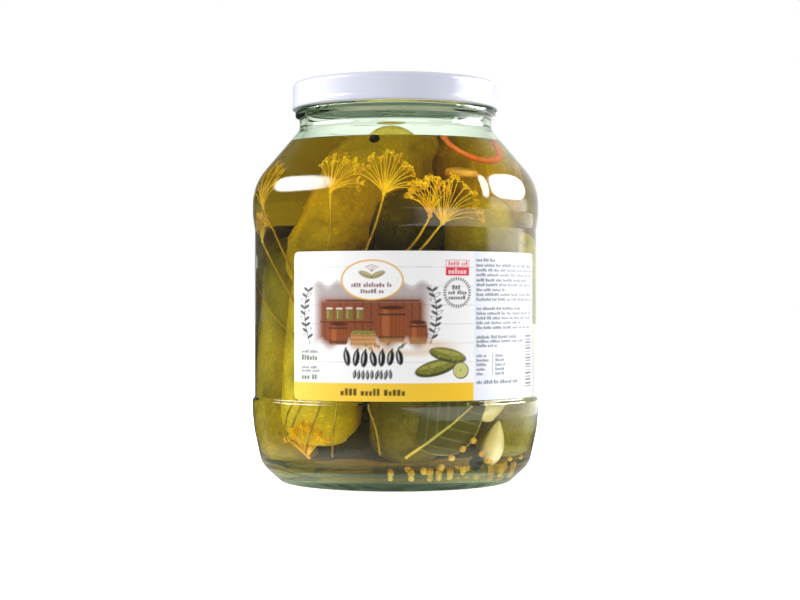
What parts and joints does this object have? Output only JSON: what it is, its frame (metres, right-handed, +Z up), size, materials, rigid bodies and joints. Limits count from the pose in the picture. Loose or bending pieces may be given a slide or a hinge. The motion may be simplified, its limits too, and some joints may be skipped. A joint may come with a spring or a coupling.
{
  "type": "pickle jar",
  "caption": "Wide glass jar with a sloping shoulder and a white twist-off cap, filled with pickled cucumbers, herbs and spices in brine, with a paper label round its front.",
  "frame": {"origin": "middle of the base, on the surface that the jar stands on", "axes": "+Z up along the jar's axis; the label's front faces -Y"},
  "size_m": [0.1284, 0.1284, 0.1782],
  "materials": {
    "glass": "clear soda-lime glass, faintly green, greener in the thick base",
    "lid_enamel": "glossy white lacquer on tinplate",
    "label_paper": "coated white paper with a satin print",
    "pickle_skin": "wet, warty olive-yellow cucumber skin",
    "dill": "golden dill stalks",
    "mustard": "wet yellow mustard seed",
    "spice": "dark wrinkled pepper and allspice",
    "leaf": "soft olive leaf with pale veins",
    "garlic": "peeled cream garlic",
    "carrot": "wet orange carrot",
    "brine": "slightly cloudy olive-yellow brine"
  },
  "bodies": {
    "root": {"jar": "glass", "lid": "lid_enamel", "label": "label_paper", "pickles": "pickle_skin", "dill_left": "dill", "dill_left_low": "dill", "dill_second": "dill", "dill_centre": "dill", "dill_right": "dill", "dill_right_back": "dill", "dill_low": "dill", "stem_high": "dill", "stem_left": "dill", "stem_left_short": "dill", "stem_second": "dill", "stem_third": "dill", "stem_centre": "dill", "leaf": "leaf", "garlic_clove_low": "garlic", "garlic_clove_high": "garlic", "carrot_strip": "carrot", "carrot_coin": "carrot", "peppercorn": "spice", "allspice_berry": "spice", "mustard_seed_01": "mustard", "mustard_seed_02": "mustard", "mustard_seed_03": "mustard", "mustard_seed_04": "mustard", "mustard_seed_05": "mustard", "mustard_seed_06": "mustard", "mustard_seed_07": "mustard", "mustard_seed_08": "mustard", "mustard_seed_09": "mustard", "mustard_seed_10": "mustard", "mustard_seed_11": "mustard", "mustard_seed_12": "mustard"}
  },
  "joints": []
}
